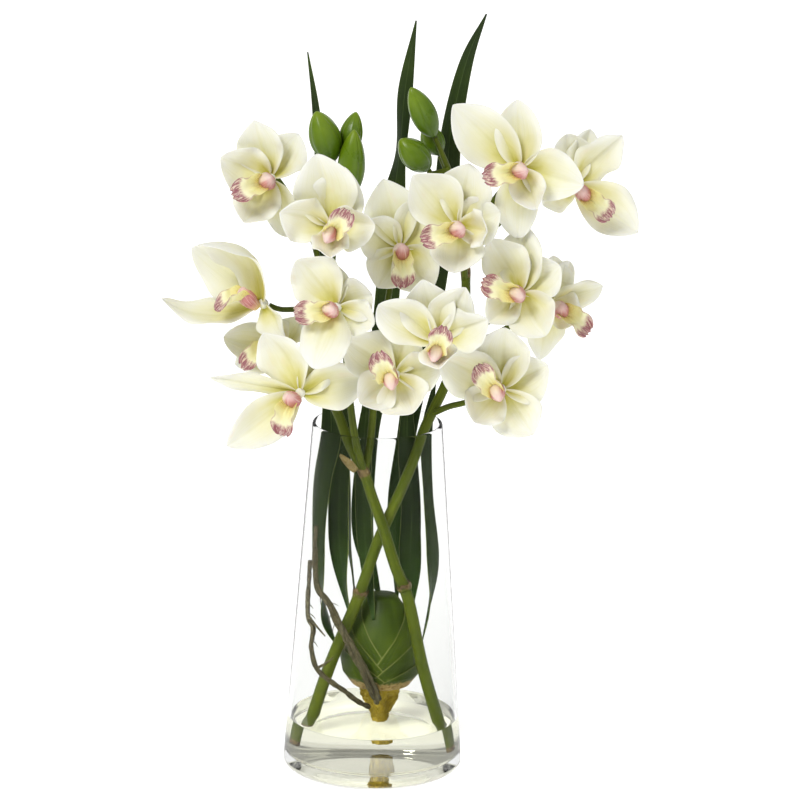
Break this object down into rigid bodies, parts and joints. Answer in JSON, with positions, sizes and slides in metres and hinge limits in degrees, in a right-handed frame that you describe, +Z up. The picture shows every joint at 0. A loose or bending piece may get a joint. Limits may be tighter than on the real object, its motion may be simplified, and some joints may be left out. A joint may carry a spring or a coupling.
{
  "type": "orchid in a vase",
  "caption": "Cream cymbidium orchid sprays with buds, strap leaves, a bulb and roots, standing in a tapered clear glass vase of cast water.",
  "frame": {"origin": "centre of the vase's flat underside, on the vase's axis", "axes": "+Z up along the vase's axis; -Y is the side the flowers face; +X is to the right as seen from that side"},
  "size_m": [0.3446, 0.1818, 0.5622],
  "materials": {
    "glass": "clear, polished",
    "cast_water": "clear cast resin that stands for water",
    "stem": "satin olive green",
    "tepal": "soft cream petals, yellow-green towards the throat",
    "lip": "cream lip with a purple striped edge, pink column",
    "bud": "glossy bright green with brown marks",
    "leaf": "satin dark green with a pale midrib",
    "bulb": "satin green sheaths",
    "root_tuft": "rough tan fibres",
    "aerial_root": "rough grey-brown bark",
    "dried_bract": "dry brown"
  },
  "bodies": {
    "root": {"aerial_root_thin": "aerial_root", "aerial_root_twisted": "aerial_root", "bud_left_1": "bud", "bud_left_2": "bud", "bud_left_3": "bud", "bud_right_1": "bud", "bud_right_2": "bud", "bud_right_3": "bud", "bulb": "bulb", "cast_water": "cast_water", "dried_bract": "dried_bract", "flower_01_lip": "lip", "flower_01_tepals": "tepal", "flower_02_lip": "lip", "flower_02_tepals": "tepal", "flower_03_lip": "lip", "flower_03_tepals": "tepal", "flower_04_lip": "lip", "flower_04_tepals": "tepal", "flower_05_lip": "lip", "flower_05_tepals": "tepal", "flower_06_lip": "lip", "flower_06_tepals": "tepal", "flower_07_lip": "lip", "flower_07_tepals": "tepal", "flower_08_lip": "lip", "flower_08_tepals": "tepal", "flower_09_lip": "lip", "flower_09_tepals": "tepal", "flower_10_lip": "lip", "flower_10_tepals": "tepal", "flower_11_lip": "lip", "flower_11_tepals": "tepal", "flower_12_lip": "lip", "flower_12_tepals": "tepal", "flower_13_lip": "lip", "flower_13_tepals": "tepal", "flower_14_lip": "lip", "flower_14_tepals": "tepal", "flower_15_lip": "lip", "flower_15_tepals": "tepal", "flower_spike_left": "stem", "flower_spike_right": "stem", "glass_vase": "glass", "leaf_1": "leaf", "leaf_2": "leaf", "leaf_3": "leaf", "leaf_4": "leaf", "leaf_5": "leaf", "leaf_6": "leaf", "leaf_7": "leaf", "leaf_8": "leaf", "root_tuft": "root_tuft"}
  },
  "joints": []
}
